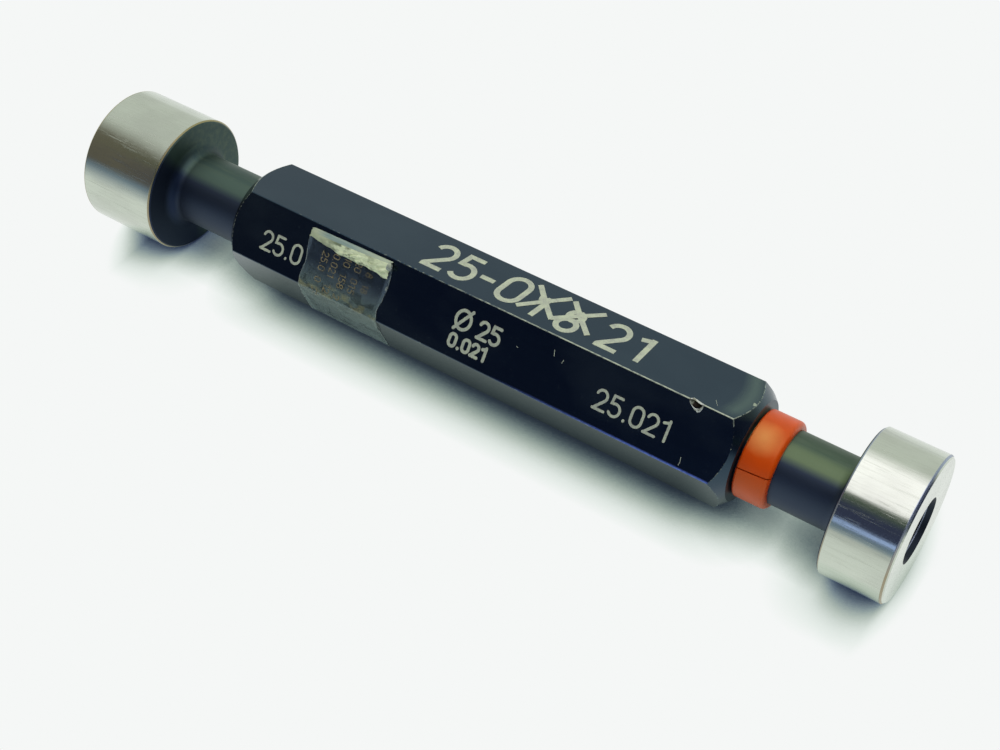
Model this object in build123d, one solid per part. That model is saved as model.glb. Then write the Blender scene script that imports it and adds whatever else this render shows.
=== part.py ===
from build123d import *
import os
from math import cos, radians, sin, tan

# Double-ended limit plug gauge: a six-sided handle with a long GO plug at one end and a short
# NO-GO plug at the other. It stands on its GO plug, because lying down it rolls on its two heads.
# Origin: the centre of the GO end face. +Z runs along the gauge to the NO-GO end. The handle's
# marked flat faces -Y. Millimetres.

# Gauging heads
go_diameter = 25.0
no_go_excess = 0.021
go_length = 16.0
no_go_length = 11.0
head_edge_break = 0.45

# Centre bores in the two end faces
bore_diameter = 10.2
bore_mouth_diameter = 11.3
bore_countersink_depth = 1.0
bore_depth = 8.0
bore_tip_angle = 118.0

# Necks between the heads and the handle
go_neck_diameter = 13.0
no_go_neck_diameter = 12.7
go_neck_length = 16.0
no_go_neck_length = 17.4
neck_root_fillet = 2.0

# Tapered tails of the two members, seated in the handle's sockets
tail_shoulder = 0.6
tail_length = 24.0
tail_end_break = 0.8
taper_ratio = 1 / 50
socket_clearance = 0.01
socket_bottom_room = 2.0
socket_tip_angle = 118.0

# Handle, turned at both ends from six-sided bar
handle_length = 99.0
across_flats = 19.2
handle_end_face_diameter = 17.6
handle_end_bevel_angle = 45.0
long_edge_fillet = 0.3
socket_mouth_break = 0.4

# Dent in the long edge between the marked flat and the next one
dent_from_no_go_end = 8.6
dent_radius = 1.3
dent_bite = 0.75
dent_edge_angle = 240.0

# Split marker ring on the NO-GO neck
ring_outer_diameter = 15.1
ring_width = 5.65
ring_bore_clearance = 0.02
ring_end_gap = 0.3
ring_inner_round = 0.4
ring_outer_round = 0.9
slit_width = 0.22
slit_angle = 281.6
slit_skew = 3.5

# Clear tape label, wrapped over three flats, with its upper end crumpled back in a ridge
label_start = 16.4
label_width = 16.5
label_thickness = 0.12
label_clearance = 0.03
label_free_margin = 1.2
label_tail_length = 5.0
ridge_reach = 2.7
ridge_heights = (0.55, 1.0, 0.7, 1.15, 0.95, 1.25, 0.6)
ridge_crests = (0.45, 0.35, 0.55, 0.4, 0.6, 0.45, 0.5)
ridge_shoulder_place = 0.5
ridge_shoulder_rise = 0.85

# Six-sided section: the angle from the middle of a flat to its corner
half_corner_angle = 30.0

# Heights along the gauge, worked out from the lengths above
go_neck_start = go_length
handle_start = go_neck_start + go_neck_length
handle_end = handle_start + handle_length
no_go_start = handle_end + no_go_neck_length
total_length = no_go_start + no_go_length
no_go_diameter = go_diameter + no_go_excess
apothem = across_flats / 2
corner_radius = apothem / cos(radians(half_corner_angle))
same_size = 1e-4


def turned(profile):
    """A solid of revolution about Z from (radius, height) points."""
    outline = make_face(Polyline(*profile, close=True).edges())
    return revolve(Plane.XZ * outline, Axis.Z)


def rims(solid, radius, height):
    """The circular edges of a solid about Z at one radius and height."""
    return [e for e in solid.edges().filter_by(GeomType.CIRCLE)
            if abs(e.radius - radius) < same_size and abs(e.arc_center.Z - height) < same_size]


def tip_height(diameter, angle):
    """Height of a drill's conical tip."""
    return diameter / 2 / tan(radians(angle / 2))


def member(head_diameter, head_length, neck_diameter, neck_length):
    """One gauging member, standing on its end face: head, neck and tapered tail in one piece."""
    head = head_diameter / 2
    neck = neck_diameter / 2
    shoulder = head_length + neck_length
    tail_top = shoulder + tail_length
    tail = neck - tail_shoulder
    tail_narrow = tail - tail_length * taper_ratio / 2
    profile = [
        (0, 0),
        (head - head_edge_break, 0),
        (head, head_edge_break),
        (head, head_length - head_edge_break),
        (head - head_edge_break, head_length),
        (neck, head_length),
        (neck, shoulder),
        (tail, shoulder),
        (tail_narrow, tail_top - tail_end_break),
        (tail_narrow - tail_end_break, tail_top),
        (0, tail_top),
    ]
    body = turned(profile)
    body = fillet(rims(body, neck, head_length), neck_root_fillet)
    return body - centre_bore()


def centre_bore():
    """The blind bore in a head's end face, countersunk at its mouth, with a drilled bottom."""
    bore = bore_diameter / 2
    mouth = bore_mouth_diameter / 2
    return turned([
        (0, 0),
        (mouth, 0),
        (bore, bore_countersink_depth),
        (bore, bore_depth),
        (0, bore_depth + tip_height(bore_diameter, bore_tip_angle)),
    ])


def socket(neck_diameter):
    """The tapered socket for a member's tail, opening at Z 0 and running up into the handle."""
    mouth = neck_diameter / 2 - tail_shoulder + socket_clearance
    depth = tail_length + socket_bottom_room
    narrow = mouth - depth * taper_ratio / 2
    return turned([
        (0, 0),
        (mouth + socket_mouth_break, 0),
        (mouth, socket_mouth_break),
        (narrow, depth),
        (0, depth + tip_height(2 * narrow, socket_tip_angle)),
    ])


def hexagon(grow=0.0):
    """The bar's section with its rounded corners, grown outwards by an even amount."""
    plain = RegularPolygon(radius=corner_radius, side_count=6)
    rounded = fillet(plain.vertices(), long_edge_fillet)
    return offset(rounded, amount=grow) if grow else rounded


def turned_over(solid, height):
    """The same solid upside down, with its Z 0 face brought up to a height."""
    return Pos(0, 0, height) * (Rot(180, 0, 0) * solid)


def handle():
    """Six-sided bar with bevelled ends, a socket in each end and one dented edge."""
    bar = extrude(hexagon(), handle_length)
    end_radius = handle_end_face_diameter / 2
    bevel = (corner_radius - end_radius) / tan(radians(handle_end_bevel_angle))
    envelope = turned([
        (0, 0),
        (end_radius, 0),
        (corner_radius, bevel),
        (corner_radius, handle_length - bevel),
        (end_radius, handle_length),
        (0, handle_length),
    ])
    bar = bar & envelope
    bar -= socket(go_neck_diameter)
    bar -= turned_over(socket(no_go_neck_diameter), handle_length)
    reach = corner_radius + dent_radius - dent_bite
    bar -= Pos(
        reach * cos(radians(dent_edge_angle)),
        reach * sin(radians(dent_edge_angle)),
        handle_length - dent_from_no_go_end,
    ) * Sphere(dent_radius)
    return Pos(0, 0, handle_start) * bar


def marker_ring():
    """Split plastic ring that marks the NO-GO end, resting against the handle."""
    inner = no_go_neck_diameter / 2 + ring_bore_clearance
    outer = ring_outer_diameter / 2
    band = turned([(inner, 0), (outer, 0), (outer, ring_width), (inner, ring_width)])
    band = fillet(rims(band, outer, 0), ring_inner_round)
    band = fillet(rims(band, outer, ring_width), ring_outer_round)
    saw = Rot(slit_skew, 0, 0) * Box(2 * outer, slit_width, 2 * ring_width)
    band -= Rot(0, 0, slit_angle) * (Pos(outer, 0, ring_width / 2) * saw)
    return Pos(0, 0, handle_end + ring_end_gap) * band


def label_tape():
    """Tape over the marked flat and the two after it, with a crumpled ridge at its upper end."""
    inner = hexagon(label_clearance)
    outer = hexagon(label_clearance + label_thickness)
    half_flat = corner_radius / 2
    far = 2 * corner_radius
    turn = radians(half_corner_angle)
    tail = -half_flat + label_tail_length
    # Corners of the stretch that the tape covers: the marked flat faces -Y and the tape
    # starts a margin in from its -X edge; it ends part of the way along the flat at +30 degrees.
    end_x = apothem * cos(turn) - tail * sin(turn)
    end_y = apothem * sin(turn) + tail * cos(turn)
    cover = make_face(Polyline(
        (-half_flat + label_free_margin, 0),
        (-half_flat + label_free_margin, -far),
        (far, -far),
        (far, end_y + (far - end_x) * tan(turn)),
        (end_x, end_y),
        (0, 0),
        close=True,
    ).edges())
    film = extrude((outer - inner) & cover, label_width)
    return Pos(0, 0, handle_start + label_start) * (film + ridge(half_flat))


def ridge(half_flat):
    """The tape's upper end, folded back on itself and crumpled: a ridge of uneven sections."""
    base = -(apothem + label_clearance + label_thickness / 2)
    start = -half_flat + label_free_margin
    sections = []
    for i, (rise, crest) in enumerate(zip(ridge_heights, ridge_crests)):
        height = label_width * i / (len(ridge_heights) - 1)
        outline = Polyline(
            (start, base, height),
            (start + ridge_reach * crest * ridge_shoulder_place, base - rise * ridge_shoulder_rise, height),
            (start + ridge_reach * crest, base - rise, height),
            (start + ridge_reach, base, height),
            close=True,
        )
        sections.append(Face(Wire(outline.edges())))
    return loft(sections, ruled=True)


go_member = member(go_diameter, go_length, go_neck_diameter, go_neck_length)
no_go_member = turned_over(
    member(no_go_diameter, no_go_length, no_go_neck_diameter, no_go_neck_length), total_length
)

os.makedirs("parts", exist_ok=True)
export_step(go_member, "parts/go_member.step")
export_step(no_go_member, "parts/no_go_member.step")
export_step(handle(), "parts/handle.step")
export_step(marker_ring(), "parts/marker_ring.step")
export_step(label_tape(), "parts/label_tape.step")
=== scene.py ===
import bpy
from math import cos, pi, radians, sin
from mathutils import Matrix, Vector, noise


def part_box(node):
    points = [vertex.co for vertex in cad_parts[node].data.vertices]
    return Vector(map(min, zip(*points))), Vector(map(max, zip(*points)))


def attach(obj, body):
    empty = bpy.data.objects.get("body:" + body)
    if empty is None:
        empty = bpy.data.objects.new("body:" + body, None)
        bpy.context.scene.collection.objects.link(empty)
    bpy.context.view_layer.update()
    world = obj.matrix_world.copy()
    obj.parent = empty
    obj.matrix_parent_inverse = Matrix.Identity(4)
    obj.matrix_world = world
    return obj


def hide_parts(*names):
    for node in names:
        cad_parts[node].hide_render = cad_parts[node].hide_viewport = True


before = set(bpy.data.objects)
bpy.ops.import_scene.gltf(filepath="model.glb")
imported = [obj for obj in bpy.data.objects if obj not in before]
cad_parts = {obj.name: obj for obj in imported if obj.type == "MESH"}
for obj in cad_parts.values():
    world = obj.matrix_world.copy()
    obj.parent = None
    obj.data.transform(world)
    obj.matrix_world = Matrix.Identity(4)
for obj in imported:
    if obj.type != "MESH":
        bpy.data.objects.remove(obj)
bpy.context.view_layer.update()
scene = bpy.context.scene
mm = 0.001


# Camera: a close, slightly downward view of the gauge as it lies on a table. In this frame the
# gauge stands on its GO plug, so the view is rolled until the gauge's axis runs across the
# picture. The place, the aim and the roll were worked out from the plugs' and handle's edges.
camera_place = Vector((-58.5, -246.1, 189.4)) * mm
camera_aim = Vector((12.97, 22.55, 76.66)) * mm
picture_right = Vector((-0.3387, 0.4393, 0.8320))
camera_lens = 58.6

forward = (camera_aim - camera_place).normalized()
right = (picture_right - forward * picture_right.dot(forward)).normalized()
camera = bpy.data.objects.new("camera", bpy.data.cameras.new("camera"))
scene.collection.objects.link(camera)
turned = Matrix((right, right.cross(forward), -forward)).transposed()
camera.matrix_world = Matrix.Translation(camera_place) @ turned.to_4x4()
camera.data.sensor_width = 36
camera.data.sensor_fit = "HORIZONTAL"
camera.data.lens = camera_lens
scene.camera = camera


# Gauging members: one piece of hardened steel each, blackened all over in a hot salt bath, then
# ground round on the plug and flat on its end. The edge breaks are dull. The neck, the plug's
# inner face and the bore keep their olive oxide. A paler band on its upper side is a painted
# highlight, and its darker, bluer underside, inner face, fillet root and bore are painted shade.
class Wire:
    """A shader socket that Python's sums, products and powers can be written with."""

    def __init__(self, finish, socket):
        self.finish = finish
        self.socket = socket

    def maths(self, operation, *values, clamp=False):
        sockets = dict(enumerate(values))
        return self.finish.node("Math", {"operation": operation, "use_clamp": clamp}, sockets)

    def __add__(self, other):
        return self.maths("ADD", self, other)

    def __radd__(self, other):
        return self.maths("ADD", other, self)

    def __sub__(self, other):
        return self.maths("SUBTRACT", self, other)

    def __rsub__(self, other):
        return self.maths("SUBTRACT", other, self)

    def __mul__(self, other):
        return self.maths("MULTIPLY", self, other)

    def __rmul__(self, other):
        return self.maths("MULTIPLY", other, self)

    def __truediv__(self, other):
        return self.maths("DIVIDE", self, other)

    def __pow__(self, other):
        return self.maths("POWER", self, other)

    def __abs__(self):
        return self.maths("ABSOLUTE", self)

    def larger(self, other):
        return self.maths("MAXIMUM", self, other)

    def smaller(self, other):
        return self.maths("MINIMUM", self, other)

    def rises(self, low, high):
        """0 below low, 1 above high, a straight slope between."""
        return self.maths("DIVIDE", self - low, high - low, clamp=True)

    def within(self, low, high, soft):
        """1 from low to high, fading out over a soft width on each side."""
        return self.rises(low - soft, low) * (1 - self.rises(high, high + soft))


class Finish:
    """A material's or a world's node tree."""

    def __init__(self, block):
        self.block = block
        block.use_nodes = True
        self.tree = block.node_tree
        self.tree.nodes.clear()

    def node(self, kind, settings=None, sockets=None, output=0):
        made = self.tree.nodes.new("ShaderNode" + kind)
        for name, value in (settings or {}).items():
            if name == "stops":
                ramp = made.color_ramp
                while len(ramp.elements) < len(value):
                    ramp.elements.new(1)
                for element, (place, colour) in zip(ramp.elements, value):
                    element.position = place
                    element.color = (*colour, 1)
            else:
                setattr(made, name, value)
        for name, value in (sockets or {}).items():
            socket = made.inputs[name]
            if isinstance(value, Wire):
                self.tree.links.new(value.socket, socket)
            elif socket.type == "RGBA":
                socket.default_value = (*value, 1)
            else:
                socket.default_value = value
        return Wire(self, made.outputs[output])

    def place(self):
        """The point on the surface, in the gauge's own frame, and its three parts."""
        point = self.node("TexCoord", output="Object")
        parts = self.node("SeparateXYZ", sockets={0: point}).socket.node.outputs
        return point, *(Wire(self, part) for part in parts)

    def speckle(self, point, per_mm, detail=2.0, rough=0.5, shift=(0, 0, 0)):
        """Noise from 0 to 1 with its own number of features per millimetre along each axis."""
        scale = tuple(n / mm for n in per_mm)
        stretched = self.node("VectorMath", {"operation": "MULTIPLY_ADD"}, {0: point, 1: scale, 2: shift})
        sockets = {"Vector": stretched, "Scale": 1.0, "Detail": detail, "Roughness": rough}
        return self.node("TexNoise", sockets=sockets)

    def blend(self, amount, low, high):
        """A colour that goes from low to high."""
        return self.node("Mix", {"data_type": "RGBA"}, {0: amount, 6: low, 7: high}, output=2)

    def bump(self, height, depth, under=None):
        """Normals of a height from 0 to 1, for a depth in metres."""
        sockets = {"Height": height, "Distance": depth, "Strength": 1.0}
        if under:
            sockets["Normal"] = under
        return self.node("Bump", sockets=sockets)

    def surface(self, **sockets):
        """Ends the tree in one Principled shader."""
        names = {name.replace("_", " "): value for name, value in sockets.items()}
        shader = self.node("BsdfPrincipled", sockets=names)
        self.node_end("OutputMaterial", shader)

    def node_end(self, kind, shader):
        end = self.tree.nodes.new("ShaderNode" + kind)
        self.tree.links.new(shader.socket, end.inputs["Surface"])


steel_colour = (0.60, 0.655, 0.565)
smudged_colour = (0.52, 0.56, 0.49)
wiped_colour = (0.44, 0.48, 0.40)
go_oxide_colour = (0.069, 0.113, 0.097)
no_go_oxide_colour = (0.080, 0.124, 0.086)
go_highlight_colour = (0.082, 0.130, 0.105)
no_go_highlight_colour = (0.128, 0.182, 0.098)
thin_oxide_colour = (0.112, 0.160, 0.112)
under_shade_colour = (0.043, 0.060, 0.090)
bore_shade_colour = (0.022, 0.030, 0.042)
inner_shade_colour = (0.0, 0.007, 0.032)
go_edge_colour = (0.36, 0.33, 0.17)
no_go_edge_colour = (0.30, 0.36, 0.45)
low_edge_colour = (0.34, 0.30, 0.20)
edge_line = 0.24 * mm
upper_side = radians(217.6)
under_shade_side = radians(320)
highlight_side = radians(237)
rim_start = 0.52 * mm
rim_full = 0.58 * mm
ground_edge = 0.2 * mm
bore_mouth_radius = 5.65 * mm
countersink_depth = 1.0 * mm
lip_line = 0.06 * mm
lip_fade = 0.14 * mm
inner_face_start = 6.52 * mm
inner_face_full = 6.75 * mm
root_start = 6.53 * mm
root_full = 6.9 * mm
root_fade = 7.5 * mm
root_end = 8.2 * mm
hair = 0.02 * mm
wave_depth = 7e-6
grinding_depth = 1.4e-6


def ground_and_blackened(name, end_height, head_radius, oxide_colour, highlight_colour, edge_colour):
    """Bright ground steel on the plug's rim and end, dull edge breaks, and black oxide elsewhere."""
    finish = Finish(bpy.data.materials.new(name))
    point, x, y, z = finish.place()
    radius = (x * x + y * y) ** 0.5
    depth = abs(z - end_height)
    rim = radius.rises(head_radius - 2 * hair, head_radius - hair) * depth.rises(rim_start, rim_full)
    broken = radius.rises(head_radius - edge_line - hair, head_radius - edge_line)
    end = 1 - depth.rises(ground_edge, ground_edge + hair)
    end = end * radius.rises(bore_mouth_radius - hair, bore_mouth_radius)
    bright = rim.larger(end)
    in_bore = 1 - radius.rises(bore_mouth_radius, bore_mouth_radius + hair)
    # Painted highlight: a thin pale blue line round the bore where the countersink meets it
    bore_lip_highlight = (1 - abs(depth - countersink_depth).rises(lip_line, lip_fade)) * in_bore

    smudges = finish.speckle(point, (0.16, 0.16, 0.1), detail=3)
    streaks = finish.speckle(point, (0.9, 0.9, 0.12), detail=3, rough=0.6)
    rings = finish.speckle(point, (0.12, 0.12, 7), detail=2)
    lines = finish.speckle(point, (0.35, 0.35, 16), detail=3, rough=0.7)
    wiped = finish.speckle(point, (2.6, 2.6, 0.16), detail=4, rough=0.65, shift=(3, 7, 2))
    grain = finish.speckle(point, (9, 9, 9), detail=1)
    steel = finish.blend(smudges.rises(0.42, 0.75), steel_colour, smudged_colour)
    steel = finish.blend(lines.rises(0.5, 0.8) * 0.5, steel, smudged_colour)
    steel = finish.blend(wiped.rises(0.45, 0.7) * 0.35, steel, wiped_colour)
    oxide = finish.blend(streaks.rises(0.42, 0.8), oxide_colour, thin_oxide_colour)
    # Painted highlight: the oxide is paler along a band on its upper side, where the lamp's reflection falls
    rub_and_highlight = ((x * cos(highlight_side) + y * sin(highlight_side)) / radius).rises(0.93, 0.985)
    oxide = finish.blend(rub_and_highlight * 0.85, oxide, highlight_colour)
    # Painted shade: the oxide is darker and bluer on the underside, away from the light
    under_shade = ((x * cos(under_shade_side) + y * sin(under_shade_side)) / radius).rises(0.19, 0.41)
    oxide = finish.blend(under_shade, oxide, under_shade_colour)
    # Painted shade: the plug's inner face and the fillet root at the neck are darkened, more on the
    # underside
    inner_face = radius.rises(inner_face_start, inner_face_full) * (0.2 + 0.2 * under_shade)
    root = radius.rises(root_start, root_full) * (1 - radius.rises(root_fade, root_end))
    oxide = finish.blend(inner_face + root * 0.22, oxide, inner_shade_colour)
    # Painted shade: the bore is darkened
    oxide = finish.blend(in_bore, oxide, bore_shade_colour)
    # Painted reflection: the dull edge breaks take one tint above and another below
    reflection_above = (x * cos(upper_side) + y * sin(upper_side)).rises(2 * mm, 10 * mm)
    edge = finish.blend(reflection_above, low_edge_colour, edge_colour)
    dark = finish.blend(broken, oxide, edge)
    dark = finish.blend(bore_lip_highlight, dark, no_go_edge_colour)
    steel_rough = 0.065 + 0.09 * smudges + 0.05 * rings + 0.16 * wiped.rises(0.54, 0.66)
    dark_rough = 0.41 + 0.10 * smudges + 0.06 * grain - 0.16 * broken
    waves = finish.bump(streaks * 0.4 + wiped * 0.6, wave_depth)
    turned = finish.bump(rings * 0.35 + lines * 0.45 + grain * 0.2, grinding_depth, waves)
    finish.surface(
        Base_Color=finish.blend(bright, dark, steel),
        Metallic=1.0,
        Roughness=dark_rough + bright * (steel_rough - dark_rough),
        Normal=turned,
    )
    return finish.block


def dress(node, material):
    """Gives a piece of the frame its finish."""
    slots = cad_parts[node].material_slots
    for slot in slots:
        slot.material = material


go_low, go_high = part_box("go_member")
no_go_low, no_go_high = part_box("no_go_member")
go_radius = (go_high.x - go_low.x) / 2
no_go_radius = (no_go_high.x - no_go_low.x) / 2
go_steel = ground_and_blackened(
    "go_steel", go_low.z, go_radius, go_oxide_colour, go_highlight_colour, go_edge_colour)
no_go_steel = ground_and_blackened(
    "no_go_steel", no_go_high.z, no_go_radius, no_go_oxide_colour, no_go_highlight_colour, no_go_edge_colour)
dress("go_member", go_steel)
dress("no_go_member", no_go_steel)


# Handle: hexagonal aluminium bar, cut to length, its ends turned to a 45 degree bevel, and black
# anodised to a satin black. Handling has worn its long edges and the rims of its bevels down to
# bright metal, and one knock has left a bright rimmed dent in the edge above the marked flat.
handle_low, handle_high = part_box("handle")
apothem = (handle_high.y - handle_low.y) / 2
flat_width = 2 * apothem / 3 ** 0.5
corner_radius = flat_width
corner_rounding = 0.046 * mm
bevel_end_radius = 8.8 * mm
marked_flat = radians(270)
upper_flat = radians(210)
anodised_colour = (0.0007, 0.0008, 0.0012)
anodised_sheen = (0.39, 0.70, 1.0)
dusty_colour = (0.018, 0.026, 0.027)
painted_sheen_colour = (0.055, 0.082, 0.050)
violet_highlight_colour = (0.10, 0.165, 0.55)
bare_colour = (0.40, 0.46, 0.34)
dent_shade_colour = (0.045, 0.038, 0.030)
dent_height = 122.4 * mm
dent_radius = 1.3 * mm
dent_bite = 0.75 * mm
dent_corner = radians(240)
nick_height = 129.9 * mm
nick_up = -0.6 * mm
nick_reach = 0.74 * mm
sheen_from_rim = 1.5 * mm
drawn_depth = 1.6e-6
flats = [radians(30 + 60 * i) for i in range(3)]


def on_flat(flat, along, up, lift):
    """A point on one of the handle's flats, at a height above it."""
    out = Vector((cos(flat), sin(flat), 0))
    climb = Vector((sin(flat), -cos(flat), 0))
    return out * (apothem + lift) + climb * up + Vector((0, 0, along))


def spot_on(finish, point, place, reach, soft, ragged=0.0):
    """1 within a reach of one place, with a ragged border."""
    away = finish.node("VectorMath", {"operation": "DISTANCE"}, {0: point, 1: tuple(place)}, output=1)
    return 1 - (away + ragged).rises(reach, reach + soft)


finish = Finish(bpy.data.materials.new("black_anodised"))
point, x, y, z = finish.place()
radius = (x * x + y * y) ** 0.5
across = [abs(x * cos(a) + y * sin(a)) for a in flats]
widest = across[0].larger(across[1]).larger(across[2])
from_end = (z - handle_low.z).smaller(handle_high.z - z)
cone = from_end + bevel_end_radius

patches = finish.speckle(point, (0.35, 0.35, 0.16), detail=4, rough=0.7)
crumbs = finish.speckle(point, (2.4, 2.4, 1.2), detail=3, rough=0.65)
drawn = finish.speckle(point, (6, 6, 0.05), detail=2)
grain = finish.speckle(point, (5, 5, 5), detail=2)
dust = finish.speckle(point, (1.6, 1.6, 1.6), detail=2, shift=(7, 3, 1))
clouds = finish.speckle(point, (0.11, 0.11, 0.06), detail=3, shift=(2, 9, 4))

# How far each spot is from a long edge or a bevel's rim, and how much of that edge is worn
to_corner = corner_radius - corner_rounding - radius
to_rim = abs(radius - cone) + (apothem - widest)
facing_corner = (x * cos(dent_corner) + y * sin(dent_corner)) / corner_radius
worn_side = facing_corner.rises(0.93, 0.97) * z.rises(58 * mm, 100 * mm)
wear = patches * 0.35 + crumbs * 0.65 + worn_side * 0.28
edge_worn = (1 - to_corner.rises(0.012 * mm, 0.034 * mm)) * wear.rises(0.56, 0.80)
shoulder = (-1 * x).rises(5.5 * mm, 6.5 * mm)
chipped = wear + 0.08 * shoulder + 0.06 * (1 - z.rises(38 * mm, 42 * mm))
rim_worn = (1 - to_rim.rises(0.04 * mm, 0.11 * mm)) * chipped.rises(0.54, 0.66)

# The dent's hollow, painted dark as shade, and a second nick in the bevel's rim
dent_reach = corner_radius + dent_radius - dent_bite
dent_place = Vector((dent_reach * cos(dent_corner), dent_reach * sin(dent_corner), dent_height))
nick_place = on_flat(upper_flat, nick_height, nick_up, 0)
hollow = spot_on(finish, point, dent_place, dent_radius + hair, 0.03 * mm)
hollow = hollow * (1 - widest.rises(apothem - hair, apothem - hair / 2))
nick = spot_on(finish, point, nick_place, nick_reach, 0.08 * mm, crumbs * 0.95 * mm)
torn = hollow * (1 - z.rises(dent_height - 0.75 * mm, dent_height - 0.45 * mm)) * crumbs.rises(0.36, 0.5)
bare = edge_worn.larger(rim_worn).larger(nick).larger(torn)

# A painted violet highlight, a reflection drawn out along the marked flat's lower edge
corner_x = flat_width / 2
low_edge = x.rises(corner_x - 0.40 * mm, corner_x - 0.18 * mm)
low_edge = low_edge * (1 - x.rises(corner_x - 0.04 * mm, corner_x + 0.06 * mm))
low_edge = low_edge * (-1 * y).rises(0, apothem * 0.9)
violet_highlight = low_edge * z.rises(88 * mm, 118 * mm) * (1 - z.rises(128.6 * mm, 128.9 * mm))
violet_highlight = violet_highlight * (0.55 + 0.45 * crumbs.rises(0.3, 0.6))

# Dust and finger marks, and a painted highlight, a pale sheen, on the upper flat where it meets the NO-GO
# end's bevel
painted_sheen = 1 - abs(cone - radius - sheen_from_rim).rises(0.2 * mm, 2.2 * mm)
painted_sheen = painted_sheen * shoulder * z.rises(90 * mm, 110 * mm)
end_face = 1 - from_end.rises(hair / 2, hair * 1.5)
dusty = dust.rises(0.69, 0.78) * 0.5 + clouds.rises(0.45, 0.7) * 0.3
black = finish.blend(dusty, anodised_colour, dusty_colour)
black = finish.blend(painted_sheen, black, painted_sheen_colour)
black = finish.blend(violet_highlight, black, violet_highlight_colour)
black = finish.blend(hollow, black, dent_shade_colour)
finish.surface(
    Base_Color=finish.blend(bare, black, bare_colour),
    Metallic=(bare * 0.9).larger(hollow),
    Roughness=0.13 + 0.06 * patches + 0.05 * drawn + 0.2 * bare.larger(hollow + end_face) + 0.04 * clouds,
    IOR=1.78,
    Specular_Tint=anodised_sheen,
    Normal=finish.bump(drawn * 0.5 + grain * 0.5, drawn_depth),
)
dress("handle", finish.block)


# Torn metal round the dent: the knock smeared the upper flat's skin a little way over the hollow
# and pushed up a ragged lip on the marked flat. Both are part of the same bar as the handle.
# Places are (height, distance down from the dented edge) in millimetres, less than 0 above it.
skin_edge = ((121.15, 0.0), (121.65, -0.40), (122.35, -0.27), (123.2, -0.06), (123.7, 0.0))
skin_border = ((123.55, -0.6), (123.0, -1.0), (122.4, -1.1), (121.8, -1.0), (121.3, -0.6))
lip_border = (
    (121.15, 0.0), (121.4, 0.52), (121.8, 0.92), (122.4, 1.28), (123.05, 1.52),
    (123.45, 1.3), (123.66, 0.7), (123.62, 0.0))
skin_lift = 0.006 * mm
lip_root = -0.12 * mm
lip_crown = 0.09 * mm
lip_first_turn = 13
lip_turn = 154
burr_half = 0.06 * mm
burr_swell = 0.11 * mm
burr_root = -0.1 * mm
burr_crest = 0.05 * mm
torn_depth = 6e-5
half_corner = radians(30)
torn_colour = (0.60, 0.66, 0.58)
torn_shade = (0.16, 0.17, 0.10)


def piece(name, verts, faces, material):
    """A new piece from points and faces, riding on the gauge."""
    mesh = bpy.data.meshes.new(name)
    mesh.from_pydata([tuple(v) for v in verts], [], faces)
    mesh.validate()
    mesh.materials.append(material)
    mesh.shade_smooth()
    made = bpy.data.objects.new(name, mesh)
    scene.collection.objects.link(made)
    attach(made, "root")
    return made


def grid_faces(columns, rows):
    """Quads between neighbouring points of a grid, one column after another."""
    return [
        (i * rows + j, i * rows + j + 1, (i + 1) * rows + j + 1, (i + 1) * rows + j)
        for i in range(columns - 1)
        for j in range(rows - 1)
    ]


verts = [
    on_flat(upper_flat, height * mm, -flat_width / 2 - down * mm, skin_lift)
    for height, down in skin_edge + skin_border
]
piece("dent_skin", verts, [tuple(range(len(verts)))], finish.block)

finish = Finish(bpy.data.materials.new("torn_metal"))
point = finish.place()[0]
facets = finish.speckle(point, (1.9, 1.9, 1.9), detail=3, rough=0.6, shift=(5, 2, 8))
finish.surface(
    Base_Color=finish.blend(facets.rises(0.46, 0.62), torn_colour, torn_shade),
    Metallic=0.5,
    Roughness=0.3 + 0.2 * facets,
    Normal=finish.bump(facets, torn_depth),
)
torn_metal = finish.block

# The lip runs from the hollow's rim, where it dips in, over an uneven crown to the flat
verts = []
rim_on_flat = dent_reach * cos(half_corner) - apothem
rim_radius = (dent_radius ** 2 - rim_on_flat ** 2) ** 0.5
rim_down = flat_width / 2 - dent_reach * sin(half_corner)
for i, (height, down) in enumerate(lip_border):
    turn = radians(lip_first_turn + lip_turn * i / (len(lip_border) - 1))
    inner_height = dent_height - rim_radius * cos(turn)
    inner_down = rim_down + rim_radius * sin(turn)
    uneven_crown = lip_crown * (0.4 + 0.5 * (i % 2))
    lip_section = ((0, lip_root), (0.35, lip_crown), (0.7, uneven_crown), (1, 0))
    for share, lift in lip_section:
        along = inner_height + (height * mm - inner_height) * share
        below = inner_down + (down * mm - inner_down) * share
        verts.append(on_flat(marked_flat, along, flat_width / 2 - below, lift))
piece("dent_lip", verts, grid_faces(len(lip_border), len(lip_section)), torn_metal)

# The burr is a bright ridge along the skin's torn edge, thin at its two ends
verts = []
for i, (height, down) in enumerate(skin_edge):
    half = burr_half + burr_swell * (0 < i < len(skin_edge) - 1)
    burr_section = ((-half, skin_lift), (0, burr_crest), (half, burr_root))
    for over_edge, lift in burr_section:
        verts.append(on_flat(upper_flat, height * mm, -flat_width / 2 - down * mm - over_edge, lift))
piece("dent_burr", verts, grid_faces(len(skin_edge), len(burr_section)), torn_metal)


# Marks on the handle: cut through the black after anodising, and showing pale bare metal. The
# small ones give the plugs' sizes, in an engraver's round ended strokes. The large number on the
# upper flat has square ends, and two of its figures are scored out by hand.
mark_lift = 0.012 * mm
mark_crown = 0.03 * mm
tooth_depth = 8e-6
cap_steps = 4
cap_slack = 0.15
sharpest_miter = 0.55
arc_step = 15
mark_colour = (0.58, 0.66, 0.46)
mark_shade = (0.36, 0.40, 0.34)


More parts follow.
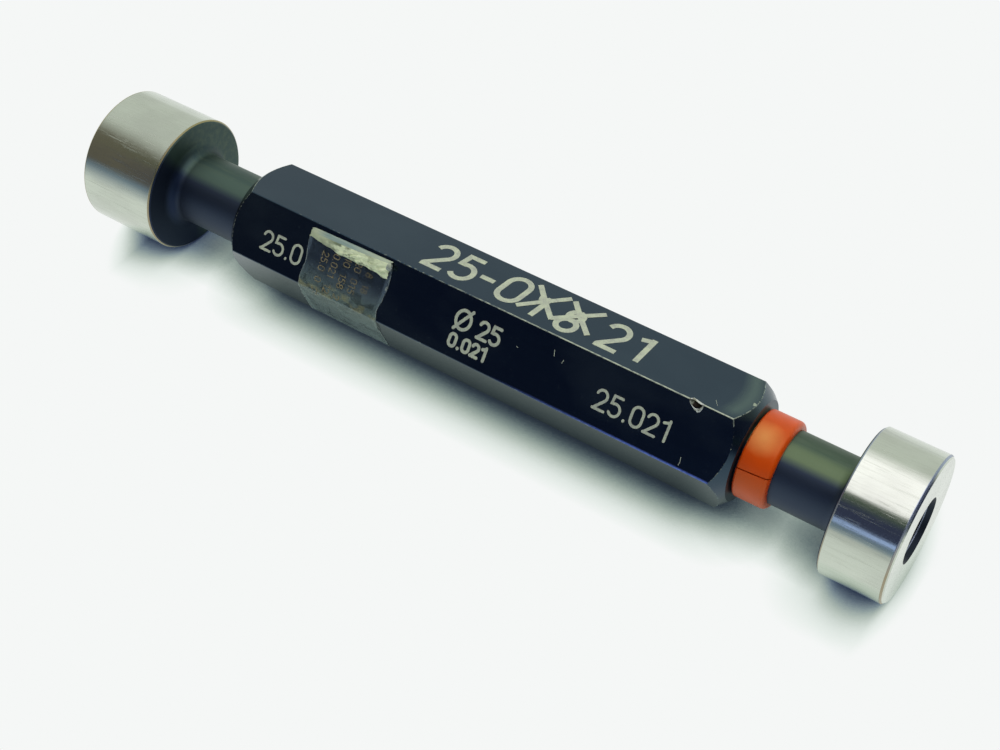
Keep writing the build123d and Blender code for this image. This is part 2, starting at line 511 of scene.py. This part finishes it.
def arc(across_mid, up_mid, across_size, up_size, start, end):
    """Points along an ellipse's arc, in degrees."""
    count = max(4, round(abs(end - start) / arc_step))
    angles = [radians(start + (end - start) * i / count) for i in range(count + 1)]
    return [(across_mid + across_size * cos(a), up_mid + up_size * sin(a)) for a in angles]


def ring(across_mid, up_mid, across_size, up_size):
    return arc(across_mid, up_mid, across_size, up_size, 90, 450)


# Each figure's strokes in a cell 1 high, with its lower left corner at the origin
figures = {
    "0": [arc(0.29, 0.71, 0.29, 0.29, 0, 180) + arc(0.29, 0.29, 0.29, 0.29, 180, 360) + [(0.58, 0.71)]],
    "1": [[(0.32, 1.03), (0.32, 0.0)], [(0.02, 0.85), (0.32, 0.94)]],
    "2": [arc(0.28, 0.71, 0.28, 0.29, 165, -38) + [(0.05, 0.04)], [(-0.02, 0.0), (0.60, 0.0)]],
    "5": [[(0.53, 1.0), (0.08, 1.0), (0.04, 0.55)] + arc(0.27, 0.32, 0.30, 0.32, 115, -145)],
    "8": [ring(0.29, 0.77, 0.22, 0.23), ring(0.29, 0.28, 0.29, 0.28)],
    ".": [[(0.06, 0.02), (0.07, 0.05)]],
    "-": [[(0.04, 0.47), (0.46, 0.47)]],
    "o": [ring(0.36, 0.50, 0.36, 0.42), [(0.02, 0.02), (0.70, 0.98)]],
}
figure_widths = {"1": 0.40, ".": 0.13, "-": 0.50, "o": 0.72}


def writing(text, start, base, height, gap=0.22, slant=0.0):
    """Strokes of a row of figures, in metres along the gauge and up the flat from its middle."""
    strokes = []
    along = start
    for figure in text:
        for stroke in figures.get(figure, []):
            strokes.append([(along + (u + v * slant) * height, base + v * height) for u, v in stroke])
        along += (figure_widths.get(figure, 0.58) + gap) * height
    return strokes


def add_stroke(points, width, verts, faces, place, round_ends=True):
    """Adds one flat stroke with a slightly raised middle line."""
    line = [Vector(p) for p in points]
    half = width / 2
    rows = []
    for i, here in enumerate(line):
        before = line[max(i - 1, 0)]
        after = line[min(i + 1, len(line) - 1)]
        way = (after - before).normalized()
        into = (here - before).normalized() if i else way
        side = Vector((-way.y, way.x))
        miter = half / max(sharpest_miter, side.dot(Vector((-into.y, into.x))))
        rows.append((here, side * miter, way))
    steps = cap_steps if round_ends else 0
    loops = []
    first, last = rows[0], rows[-1]
    for k in range(steps, 0, -1):
        turn = pi / 2 * k / (steps + cap_slack)
        loops.append((first[0] - first[2] * half * sin(turn), first[1] * cos(turn)))
    loops += [(here, side) for here, side, way in rows]
    for k in range(1, steps + 1):
        turn = pi / 2 * k / (steps + cap_slack)
        loops.append((last[0] + last[2] * half * sin(turn), last[1] * cos(turn)))
    base = len(verts)
    for here, side in loops:
        for share, lift in ((-1, mark_lift), (0, mark_crown), (1, mark_lift)):
            spot = here + side * share
            verts.append(place(spot.x, spot.y, lift))
    for i in range(len(loops) - 1):
        a = base + 3 * i
        faces.append((a, a + 1, a + 4, a + 3))
        faces.append((a + 1, a + 2, a + 5, a + 4))


def engraved(name, flat, rows, round_ends=True, over=0.0):
    """One piece of engraving from rows of (strokes, width), which may lie over another."""
    def place(along, up, lift):
        return on_flat(flat, along, up, lift + over)
    verts, faces = [], []
    for strokes, width in rows:
        for stroke in strokes:
            add_stroke(stroke, width, verts, faces, place, round_ends)
    return piece(name, verts, faces, engraved_metal)


finish = Finish(bpy.data.materials.new("engraved_metal"))
point = finish.place()[0]
tooth = finish.speckle(point, (6, 6, 6), detail=3, rough=0.7)
blots = finish.speckle(point, (0.8, 0.8, 0.8), detail=3)
finish.surface(
    Base_Color=finish.blend((tooth * 0.6 + blots * 0.4).rises(0.4, 0.66), mark_colour, mark_shade),
    Metallic=0.35,
    Roughness=0.42 + 0.2 * tooth,
    Normal=finish.bump(tooth, tooth_depth),
)
engraved_metal = finish.block

small_stroke = 0.46 * mm
small_height = 3.25 * mm
small_base = -2.75 * mm
bold_stroke = 0.55 * mm
large_stroke = 1.0 * mm
large_height = 6.4 * mm
large_base = -3.3 * mm
old_height = large_height - 0.8 * mm
old_base = large_base - 0.6 * mm
score_stroke = 0.95 * mm
scuff_stroke = 0.09 * mm
scratch_stroke = 0.045 * mm

engraved("small_sizes", marked_flat, [
    (writing("25.0", 39.5 * mm, small_base, small_height), small_stroke),
    (writing("25.021", 106.9 * mm, small_base + 0.3 * mm, small_height, gap=0.24), small_stroke),
])
engraved("size_block", marked_flat, [
    (writing("o", 79.3 * mm, -0.75 * mm, 3.9 * mm), bold_stroke),
    (writing("25", 83.9 * mm, -0.45 * mm, 2.9 * mm), bold_stroke),
    (writing("0.021", 79.4 * mm, -3.65 * mm, 2.1 * mm, gap=0.28), bold_stroke),
])
engraved("large_number", upper_flat, [
    (writing("2", 68.8 * mm, large_base, large_height, slant=0.05), large_stroke),
    (writing("5", 73.9 * mm, large_base, large_height, slant=0.05), large_stroke),
    (writing("-", 78.6 * mm, large_base, large_height), large_stroke),
    (writing("0", 83.0 * mm, large_base, large_height + 0.3 * mm, slant=0.08), large_stroke),
    (writing("1", 89.0 * mm, old_base, old_height, slant=0.1), large_stroke),
    (writing("8", 94.9 * mm, old_base, old_height, slant=0.1), large_stroke),
    (writing("2", 102.6 * mm, large_base, large_height, slant=0.02), large_stroke),
    (writing("1", 108.0 * mm, large_base, large_height, slant=0.02), large_stroke),
], round_ends=False)
engraved("scored_out", upper_flat, [([
    [(88.0 * mm, 3.9 * mm), (90.9 * mm, 0.6 * mm), (94.1 * mm, -2.7 * mm)],
    [(87.6 * mm, -3.1 * mm), (90.6 * mm, 0.3 * mm), (94.0 * mm, 4.0 * mm)],
    [(94.8 * mm, 3.8 * mm), (97.6 * mm, 0.7 * mm), (100.8 * mm, -2.5 * mm)],
    [(93.8 * mm, -2.5 * mm), (97.0 * mm, 0.6 * mm), (100.6 * mm, 4.0 * mm)],
], score_stroke)], round_ends=False, over=mark_crown)

# Four short scuffs and one fine scratch, where the black has been knocked off
engraved("scuffs", marked_flat, [([
    [(97.5 * mm, 3.3 * mm), (97.8 * mm, 2.3 * mm)],
    [(99.6 * mm, 2.4 * mm), (99.4 * mm, 1.8 * mm)],
    [(123.35 * mm, -3.5 * mm), (123.5 * mm, -4.2 * mm), (123.4 * mm, -4.8 * mm)],
    [(91.1 * mm, 1.1 * mm), (91.4 * mm, 1.0 * mm)],
], scuff_stroke)])
engraved("scratch", upper_flat, [([
    [(124.6 * mm, -3.4 * mm), (125.4 * mm, -4.45 * mm)],
], scratch_stroke)])


# Marker ring: soft red plastic moulded as a split band, which springs over the NO-GO neck and
# tells that end from the other at a glance. A pale patch above is a painted highlight, and the
# darker underside is painted shade.
ring_colour = (0.68, 0.070, 0.0005)
ring_dull_colour = (0.60, 0.062, 0.001)
ring_highlight_colour = (0.82, 0.31, 0.075)
ring_shade_colour = (0.40, 0.040, 0.003)
ring_sheen = (1.0, 0.72, 0.30)
ring_radius = 7.55 * mm
highlight_angle = radians(235)
highlight_height = 133.4 * mm
highlight_reach = 0.8 * mm
highlight_fade = 3.0 * mm
ring_shade_angle = radians(315)
pore_depth = 6e-6
highlight_place = Vector((ring_radius * cos(highlight_angle), ring_radius * sin(highlight_angle), highlight_height))
finish = Finish(bpy.data.materials.new("red_plastic"))
point, x, y, z = finish.place()
clouds = finish.speckle(point, (0.5, 0.5, 0.4), detail=3)
pores = finish.speckle(point, (5, 5, 5), detail=2)
# Painted highlight: a paler patch on the ring's upper side
rub_and_highlight = spot_on(finish, point, highlight_place, highlight_reach, highlight_fade, clouds * highlight_reach)
plastic = finish.blend(clouds.rises(0.35, 0.8), ring_colour, ring_dull_colour)
# Painted shade: the ring is darker on its underside
ring_shade = ((x * cos(ring_shade_angle) + y * sin(ring_shade_angle)) / ring_radius).rises(0.6, 0.95)
plastic = finish.blend(ring_shade * 0.5, plastic, ring_shade_colour)
finish.surface(
    Base_Color=finish.blend(rub_and_highlight * 0.85, plastic, ring_highlight_colour),
    Roughness=0.28 + 0.14 * clouds + 0.05 * pores,
    IOR=1.6,
    Specular_Tint=ring_sheen,
    Normal=finish.bump(pores, pore_depth),
)
dress("marker_ring", finish.block)


# Label: clear film with faint printed rows, stuck over the marked flat and wrapped round the next
# two. Its upper end has come loose and folded back on itself, so it stands up as a pale crumpled
# ridge, and the film has gone hazy at the bend below it, where air got under.
film_lift = 0.05 * mm
film_thickness = 0.05 * mm
film_start = 1.6 * mm
film_tail = 4.9 * mm
film_steps_along = 60
film_steps_round = 110
film_low = 48.6 * mm
film_high = 65.1 * mm
film_puff = 0.03 * mm
film_crease = 0.10 * mm
film_loose = 0.35 * mm
cut_share = 0.03
cut_lift = 0.10 * mm
bend_radius = 0.5 * mm
# Heights of the film's two cut edges at distances round the handle, all in millimetres
lower_edge = (
    (0, 48.35), (3.4, 48.3), (7, 48.95), (9.3, 48.7),
    (11.1, 48.9), (17, 47.9), (22, 47.7), (28, 48.2))
upper_edge = (
    (0, 65.2), (5.2, 65.6), (7.3, 65.4), (9.3, 65.0),
    (11.1, 65.4), (12.2, 65.3), (17, 64.8), (28, 64.4))


def round_the_handle(travel, lift):
    """The point at a travel round the hexagon from the marked flat's upper edge, at a height
    above the flat, with the corners taken in small bends."""
    flat_index = int(travel // flat_width)
    local = travel - flat_index * flat_width
    flat = marked_flat + radians(60) * flat_index
    bend = 0.0
    if local < bend_radius and flat_index > 0:
        bend = -(1 - local / bend_radius) * radians(30)
    if local > flat_width - bend_radius:
        bend = (1 - (flat_width - local) / bend_radius) * radians(30)
    spot = on_flat(flat, 0, flat_width / 2 - local, 0)
    return spot + Vector((cos(flat + bend), sin(flat + bend), 0)) * lift


def thicken(sheet, offset):
    """Gives a sheet of film its thickness, on one side of its points or on both."""
    layer = sheet.modifiers.new("film thickness", "SOLIDIFY")
    layer.thickness = film_thickness
    layer.offset = offset


def height_at(edge, travel):
    """The height of one of the film's edges at a travel round the handle."""
    for (start, low), (end, high) in zip(edge, edge[1:]):
        if travel <= end * mm:
            share = (travel / mm - start) / (end - start)
            return (low + (high - low) * share * share * (3 - 2 * share)) * mm
    return edge[-1][1] * mm


verts = []
film_travel = 2 * flat_width + film_tail - film_start
for i in range(film_steps_round + 1):
    share = i / film_steps_round
    travel = film_start + share * film_travel
    low, high = height_at(lower_edge, travel), height_at(upper_edge, travel)
    for j in range(film_steps_along + 1):
        along = j / film_steps_along
        puff = noise.fractal(Vector((share * 12, along * 9, 0.4)), 1.0, 2.0, 3)
        crease = noise.noise(Vector((share * 26 + along * 5, along * 11, 4.0))) - 0.25
        cut = 1 - min(along, 1 - along) / cut_share
        wavy = 0.5 + 0.5 * noise.noise(Vector((share * 14, along, 9.0)))
        lift = film_lift + max(0, puff) * film_puff + max(0, crease) * film_crease
        lift += max(0, cut) * wavy * cut_lift
        loose = max(0, along - 0.8) * 5 * max(0, 1 - abs(travel / flat_width - 1.25) / 0.28)
        lift += loose * loose * film_loose
        verts.append(round_the_handle(travel, lift) + Vector((0, 0, low + (high - low) * along)))
faces = grid_faces(film_steps_round + 1, film_steps_along + 1)

crease_depth = 4e-5
film_colour = (0.30, 0.44, 0.37)
blue_film_colour = (0.29, 0.42, 0.51)
patch_colour = (0.37, 0.42, 0.25)
finish = Finish(bpy.data.materials.new("clear_film"))
point, x, y, z = finish.place()
haze = finish.speckle(point, (0.22, 0.22, 0.16), detail=4, rough=0.6)
creases = finish.speckle(point, (1.1, 1.1, 0.5), detail=3, rough=0.7, shift=(2, 5, 1))
bubbles = finish.speckle(point, (0.7, 0.7, 0.45), detail=2, shift=(4, 1, 6))
to_bend = x - flat_width / 2
near_bend = to_bend.rises(-5.5 * mm, -0.6 * mm) * (1 - 0.2 * to_bend.rises(0.2 * mm, 3 * mm))
patch = bubbles.rises(0.52, 0.62) * to_bend.rises(-2.6 * mm, -1.2 * mm) * (1 - to_bend.rises(0, 0.3 * mm))
cut_edge = 1 - (z - film_low).smaller(film_high - z).rises(0.1 * mm, 0.5 * mm)
milky = near_bend * (0.08 + 0.14 * haze.rises(0.3, 0.7)) + creases.rises(0.62, 0.8) * 0.10
milky = milky + patch * 0.16 + cut_edge * 0.10 + haze.rises(0.45, 0.8) * 0.04
finish.surface(
    Base_Color=finish.blend(patch, finish.blend(near_bend, blue_film_colour, film_colour), patch_colour),
    Roughness=0.14 + 0.22 * haze,
    IOR=1.5,
    Alpha=0.03 + milky,
    Normal=finish.bump(creases, crease_depth),
)
clear_film = finish.block
film = piece("tape_film", verts, faces, clear_film)
thicken(film, 1)
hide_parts("label_tape")

# The folded end: a smooth strip above a crumpled lip that widens towards the NO-GO end
ridge_low = 48.25 * mm
ridge_high = 65.0 * mm
ridge_start = 0.9 * mm
ridge_climb = 0.35 * mm
ridge_steps_along = 150
ridge_steps_over = 44
strip_share = 0.4
strip_root = 0.14 * mm
ridge_floor = 0.1 * mm
ridge_sway = 0.3 * mm
verts, strip_faces, lip_faces = [], [], []
for i in range(ridge_steps_along + 1):
    along = i / ridge_steps_along
    crumple = min(1, max(0.12, (along - 0.12) * 2.2))
    tip = max(0, 1 - along / 0.035)
    start = ridge_start - ridge_climb * along + 0.22 * mm * tip ** 2
    strip_width = (0.85 - 0.45 * along ** 2 - 0.25 * tip ** 2) * mm
    width = (1.5 + 1.05 * min(1, along * 2.5) ** 0.7 + 0.55 * along ** 3) * mm
    width *= 1 + 0.12 * noise.noise(Vector((along * 9, 0, 2)))
    rise = (0.42 + 0.62 * along) * mm * (1 + 0.15 * noise.noise(Vector((along * 7, 3, 2))))
    rise *= min(1, 0.35 + along * 14) * min(1, 0.5 + (1 - along) * 25)
    for j in range(ridge_steps_over + 1):
        over = j / ridge_steps_over
        if over < strip_share:
            part = over / strip_share
            down = start + strip_width * part
            lift = strip_root + (rise - strip_root) * part ** 0.8
        else:
            part = (over - strip_share) / (1 - strip_share)
            down = start + strip_width + (width - strip_width) * part ** 0.8
            lift = ridge_floor + (rise - ridge_floor) * (1 - part ** 2.2)
            folds = noise.noise(Vector((along * 9 + part * 2.5, part * 2.6, 7)))
            fine = noise.noise(Vector((along * 34 * (0.4 + along) - part * 3, part * 3.2, 3)))
            pinch = (1 - abs(2 * part - 1) ** 2) * crumple
            lift += pinch * (abs(folds) * 0.75 - 0.16 + fine * 0.14) * mm
            down += pinch * (folds * 0.28 + fine * 0.1) * mm
        height = ridge_low + along * (ridge_high - ridge_low)
        height += ridge_sway * noise.noise(Vector((over * 5, along * 2, 3))) * abs(2 * along - 1)
        verts.append(on_flat(marked_flat, height, flat_width / 2 - down, max(lift, ridge_floor)))
row = ridge_steps_over + 1
for face in grid_faces(ridge_steps_along + 1, row):
    in_strip = face[0] % row < ridge_steps_over * strip_share - 1
    (strip_faces if in_strip else lip_faces).append(face)

crinkle_depth = 9e-5
lip_colour = (0.78, 0.90, 0.56)
lip_shade = (0.20, 0.26, 0.15)
finish = Finish(bpy.data.materials.new("crumpled_film"))
point, x, y, z = finish.place()
streaks = finish.speckle(point, (1.7, 1.7, 0.30), detail=3, rough=0.5)
crinkles = finish.speckle(point, (0.7, 0.7, 1.1), detail=2, rough=0.5, shift=(1, 8, 2))
clear_parts = finish.speckle(point, (0.5, 0.5, 0.35), detail=2, shift=(6, 2, 8))
# Painted highlight along the fold's crest; the streaky tones are partly the film's own colour and partly
# painted light and shade over its folds
crest_highlight = (-1 * y).rises(apothem + 0.4 * mm, apothem + 0.75 * mm)
smooth_part = 1 - z.rises(51.5 * mm, 54 * mm)
tone = streaks * 0.65 + crinkles * 0.35 - crest_highlight * 0.07 + (z - 58 * mm).larger(-4 * mm) * (-0.013 / mm)
shaded = tone.rises(0.47, 0.60)
shaded = shaded + smooth_part * (0.36 + 0.25 * (crinkles - 0.5) - shaded)
finish.surface(
    Base_Color=finish.blend(shaded, lip_colour, lip_shade),
    Roughness=0.24 + 0.25 * crinkles,
    IOR=1.5,
    Alpha=(1 - 0.5 * clear_parts.rises(0.55, 0.75)) * (0.75 + 0.25 * z.rises(50 * mm, 56 * mm)),
    Normal=finish.bump(streaks * 0.5 + crinkles * 0.5, crinkle_depth),
)
crumpled_film = finish.block

brushed_depth = 2e-5
strip_colour = (0.225, 0.335, 0.285)
strip_bright_colour = (0.34, 0.45, 0.35)
strip_end_colour = (0.44, 0.52, 0.34)
finish = Finish(bpy.data.materials.new("folded_film"))
point, x, y, z = finish.place()
brushed = finish.speckle(point, (2.2, 2.2, 0.2), detail=3, rough=0.6)
strip = finish.blend(brushed.rises(0.45, 0.75), strip_colour, strip_bright_colour)
strip_ends = (1 - z.rises(49.4 * mm, 51.6 * mm)) + z.rises(57 * mm, 63 * mm) * 0.75
finish.surface(
    Base_Color=finish.blend(strip_ends, strip, strip_end_colour),
    Roughness=0.22 + 0.15 * brushed,
    IOR=1.5,
    Normal=finish.bump(brushed, brushed_depth),
)
ridge = piece("tape_ridge", verts, lip_faces + strip_faces, crumpled_film)
ridge.data.materials.append(finish.block)
for polygon in ridge.data.polygons[len(lip_faces):]:
    polygon.material_index = 1
thicken(ridge, 0)
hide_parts("label_tape")

# The fold's open end at the NO-GO side, left as a small curl, and the two cut edges, where the
# film shows white
cut_stroke = 0.10 * mm
cut_colour = (0.38, 0.45, 0.39)
finish = Finish(bpy.data.materials.new("cut_film"))
point = finish.place()[0]
bright_runs = finish.speckle(point, (0.9, 0.9, 0.9), detail=3)
finish.surface(
    Base_Color=cut_colour,
    Roughness=0.3,
    IOR=1.5,
    Alpha=0.15 + 0.5 * bright_runs.rises(0.38, 0.62),
)
curl_steps_round = 40
curl_steps_along = 10
curl_turn = radians(470)
curl_from_ridge = 0.9 * mm
curl_middle = 0.72 * mm
curl_start = 64.5 * mm
curl_length = 0.95 * mm
verts = []
for i in range(curl_steps_along + 1):
    along = i / curl_steps_along
    for j in range(curl_steps_round + 1):
        turn = curl_turn * j / curl_steps_round
        size = (0.56 - 0.2 * j / curl_steps_round + 0.05 * noise.noise(Vector((turn, along, 5)))) * mm
        down = ridge_start - ridge_climb + curl_from_ridge + size * 1.15 * cos(turn)
        lift = film_lift + curl_middle + size * sin(turn)
        height = curl_start + (along + 0.2 * sin(turn)) * curl_length
        verts.append(on_flat(marked_flat, height, flat_width / 2 - down, lift))
curl = piece(
    "tape_curl",
    verts,
    grid_faces(curl_steps_along + 1, curl_steps_round + 1),
    finish.block,
)
thicken(curl, 0)
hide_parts("label_tape")

# Printed rows: plain figures in faded brown ink, read down the wrap
print_height = 1.25 * mm
print_stroke = 0.16 * mm
print_lift = 0.09 * mm
printed_rows = (
    (51.7, 4.0, "25.0 0 25"),
    (53.9, 3.6, "0.021 12"),
    (56.2, 3.3, "10 158 2"),
    (58.5, 3.1, "20 015"),
    (60.9, 4.1, "8 18"),
)


def on_film(row_height):
    """Turns a row's own directions to read down the wrap, at its height on the gauge."""
    def place(along, up, lift):
        return round_the_handle(along, print_lift + lift) + Vector((0, 0, row_height + up))
    return place


verts, faces = [], []
for edge in (lower_edge, upper_edge):
    steps = [film_start + film_travel * i / film_steps_round for i in range(film_steps_round + 1)]
    line = [(travel, height_at(edge, travel)) for travel in steps]
    add_stroke(line, cut_stroke, verts, faces, on_film(0), round_ends=False)
add_stroke([(5.0 * mm, 65.45 * mm), (5.4 * mm, 65.4 * mm)], 3.5 * cut_stroke, verts, faces, on_film(0))
piece("tape_edges", verts, faces, finish.block)

ink_colour = (0.25, 0.215, 0.105)
finish = Finish(bpy.data.materials.new("faded_ink"))
point, x, y, z = finish.place()
rub_and_highlight = finish.speckle(point, (1.5, 1.5, 1.5), detail=3)
finish.surface(
    Base_Color=ink_colour,
    Roughness=0.5,
    Alpha=(0.38 + 0.55 * rub_and_highlight.rises(0.3, 0.65)) * (1 - 0.4 * z.rises(58 * mm, 61 * mm)),
)
verts, faces = [], []
for row_height, start, text in printed_rows:
    for stroke in writing(text, start * mm, 0, print_height, gap=0.24):
        add_stroke(stroke, print_stroke, verts, faces, on_film(row_height * mm))
piece("printed_rows", verts, faces, finish.block)


# Table and floor: the gauge was photographed lying on a pale table, so a table top touches both
# plugs on the side away from the light. Seen from behind, it lets light and view through. In this
# frame the gauge stands on a floor of the same pale finish, which meets the table at its GO end.
table_out = Vector((cos(upper_side), sin(upper_side), 0))
table_side = Vector((-sin(upper_side), cos(upper_side), 0))
table_gap = no_go_radius
table_reach = 1.5
floor_open_at = 0.3
background = (0.913, 0.930, 0.922)
plug_shade_tint = (0.98, 1.0, 1.35)
contact_reach = 10 * mm
# The shadow's colour, against the open sheet's, for shares of open sky that a spot sees
shadow_tones = (
    (0.26, (0.017, 0.025, 0.040)),
    (0.36, (0.055, 0.080, 0.098)),
    (0.42, (0.140, 0.190, 0.195)),
    (0.53, (0.330, 0.400, 0.360)),
    (0.60, (0.460, 0.530, 0.475)),
    (0.70, (0.660, 0.720, 0.680)),
    (0.80, (0.810, 0.860, 0.825)),
    (0.92, (0.910, 0.945, 0.920)),
    (1.00, (1.0, 1.0, 1.0)),
)


def pale_sheet(name, middle, first, second, open_at):
    """A wide flat sheet that glows in the background's colour, and goes dark close to the gauge.
    The shadow is lighter round the plugs and past the ends, darker by the necks and the handle,
    and bluer by the plugs. The gauge mirrors the sheet dimmer far out and beneath the handle."""
    finish = Finish(bpy.data.materials.new(name))
    point, x, y, z = finish.place()
    near = finish.node("AmbientOcclusion", {"samples": 16}, {"Distance": contact_reach}, output=1)
    ends = z.rises(146 * mm, 152 * mm) * 0.05 + z.rises(158 * mm, 162 * mm) * 0.26
    ends = ends + (1 - z.rises(12 * mm, 24 * mm)) * 0.08 + (1 - z.rises(0, 8 * mm)) * 0.5
    middle_part = z.within(20 * mm, 31 * mm, 3 * mm) * 0.045 + z.within(137 * mm, 145 * mm, 4 * mm) * 0.02
    middle_part = middle_part + z.rises(60 * mm, 100 * mm) * (1 - z.rises(128 * mm, 134 * mm)) * 0.03
    open_sky = near / open_at + ends
    open_sky = open_sky - middle_part * (1 - open_sky.rises(0.42, 0.75))
    shade = finish.node("ValToRGB", {"stops": shadow_tones}, {0: open_sky})
    cooler = finish.node("VectorMath", {"operation": "MULTIPLY"}, {0: shade, 1: plug_shade_tint})
    by_plugs = (1 - z.rises(16 * mm, 22 * mm)).larger(z.rises(146 * mm, 150 * mm))
    shade = finish.blend(by_plugs * (1 - open_sky.rises(0.36, 0.58)), shade, cooler)
    off = finish.node("VectorMath", {"operation": "DOT_PRODUCT"}, {0: point, 1: tuple(table_side)}, output=1)
    mirrored = finish.node("LightPath", output="Is Glossy Ray")
    under = (1 - off.rises(10 * mm, 16 * mm)) * z.within(36 * mm, 120 * mm, 8 * mm)
    dim = 1 - mirrored * (off.rises(15 * mm, 160 * mm) * 0.3 + under * 0.22)
    tone = finish.node("VectorMath", {"operation": "MULTIPLY"}, {0: shade, 1: background})
    tone = finish.node("VectorMath", {"operation": "SCALE"}, {0: tone, "Scale": dim})
    front = finish.node("Emission", sockets={"Color": tone, "Strength": 1.0})
    behind = finish.node("NewGeometry", output="Backfacing")
    clear = finish.node("BsdfTransparent")
    finish.node_end("OutputMaterial", finish.node("MixShader", sockets={0: behind, 1: front, 2: clear}))
    verts = [middle + first * a + second * b for a, b in ((-1, -1), (1, -1), (1, 1), (-1, 1))]
    mesh = bpy.data.meshes.new(name)
    mesh.from_pydata([tuple(v) for v in verts], [], [(0, 1, 2, 3)])
    mesh.materials.append(finish.block)
    made = bpy.data.objects.new(name, mesh)
    scene.collection.objects.link(made)
    return made


table_up = Vector((0, 0, 1))
table_middle = table_up * table_reach - table_out * table_gap
pale_sheet(
    "table_top",
    table_middle,
    table_side * table_reach,
    table_up * table_reach,
    1.0,
)
floor = pale_sheet(
    "floor",
    Vector((0, 0, 0)),
    Vector((table_reach, 0, 0)),
    Vector((0, table_reach, 0)),
    floor_open_at,
)
floor.visible_glossy = False
floor.visible_diffuse = False
floor.visible_shadow = False


# Light: a pale room all round, a wide bright soft light above the table, and the dark side of the
# room behind the camera, which is what draws the dark bands along the ground plugs.
room_light = (0.735, 0.755, 0.72)
table_light = (0.90, 0.92, 0.91)
lamp_light = (1.60, 1.50, 1.60)
dark_light = (0.042, 0.050, 0.105)
olive_dark_light = (0.085, 0.115, 0.085)
warm_dark_light = (0.160, 0.140, 0.105)
cool_edge_light = (0.20, 0.27, 0.36)
sill_light = (0.50, 0.64, 1.12)

finish = Finish(bpy.data.worlds.new("studio"))
scene.world = finish.block
way = finish.node("TexCoord", output="Generated")
up = finish.node("VectorMath", {"operation": "DOT_PRODUCT"}, {0: way, 1: tuple(table_out)}, output=1)
near = finish.node("VectorMath", {"operation": "DOT_PRODUCT"}, {0: way, 1: tuple(table_side)}, output=1)
along = finish.node("VectorMath", {"operation": "DOT_PRODUCT"}, {0: way, 1: (0, 0, 1)}, output=1)
tilt = near.maths("ARCTAN2", near, up) * (180 / pi)
go_end = 1 - along.rises(-0.595, -0.55)
lamp = tilt.within(-22, 34, 20) * along.rises(-0.50, -0.30)
dark = tilt.rises(30 - 35 * go_end, 34 - 10 * go_end) * (1 - tilt.rises(84, 104 + 10 * go_end))
dark = dark.larger(along.rises(0.66, 0.80))
cool = tilt.rises(74, 84)
first = finish.blend(tilt.within(26, 40, 10), dark_light, olive_dark_light)
# A narrow bluish strip inside the dark side
sill = tilt.within(73, 78, 1.5) * along.rises(-0.26, -0.17) * (1 - along.rises(0.3, 0.5))
light = finish.blend(abs(tilt).rises(86, 92), room_light, table_light)
light = finish.blend(lamp, light, lamp_light)
shade = finish.blend(cool, finish.blend(go_end, first, warm_dark_light), cool_edge_light)
light = finish.blend(dark, light, shade)
light = finish.blend(sill, light, sill_light)
seen = finish.node("LightPath", output="Is Camera Ray")
light = finish.blend(seen, light, background)
glow = finish.node("Background", sockets={"Color": light, "Strength": 1.0})
finish.node_end("OutputWorld", glow)

scene.view_settings.view_transform = "Standard"
